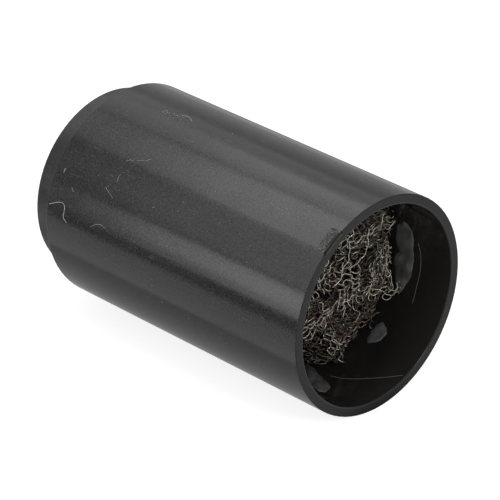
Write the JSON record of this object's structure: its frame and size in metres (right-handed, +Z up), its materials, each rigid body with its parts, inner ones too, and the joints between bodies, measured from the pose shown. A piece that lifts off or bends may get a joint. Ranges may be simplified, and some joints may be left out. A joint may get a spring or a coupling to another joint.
{
  "type": "pneumatic muffler",
  "caption": "Black moulded tube muffler with a stepped, internally threaded inlet neck, an open outlet and knitted steel wire packing held by adhesive dabs.",
  "frame": {"origin": "centre of the inlet face, the end of the neck, where the pipe nipple screws in", "axes": "+X along the axis, from the inlet to the open outlet; +Z up, with the muffler lying on its side"},
  "size_m": [0.085, 0.0508, 0.0508],
  "materials": {
    "black_plastic": "semi-matte moulded black plastic with fine scratches, glossier inside the bore",
    "sheet_steel": "plain rolled stainless sheet",
    "knitted_wire": "drawn stainless wire, slightly warm and dulled",
    "adhesive": "smooth glossy black adhesive"
  },
  "bodies": {
    "root": {"muffler_body": "black_plastic", "inlet_screen": "sheet_steel", "mesh_pad_inlet": "knitted_wire", "mesh_pad_middle": "knitted_wire", "mesh_pad_outlet": "knitted_wire", "adhesive_dab_side": "adhesive", "adhesive_dab_lower": "adhesive", "adhesive_dab_bottom": "adhesive"}
  },
  "joints": []
}
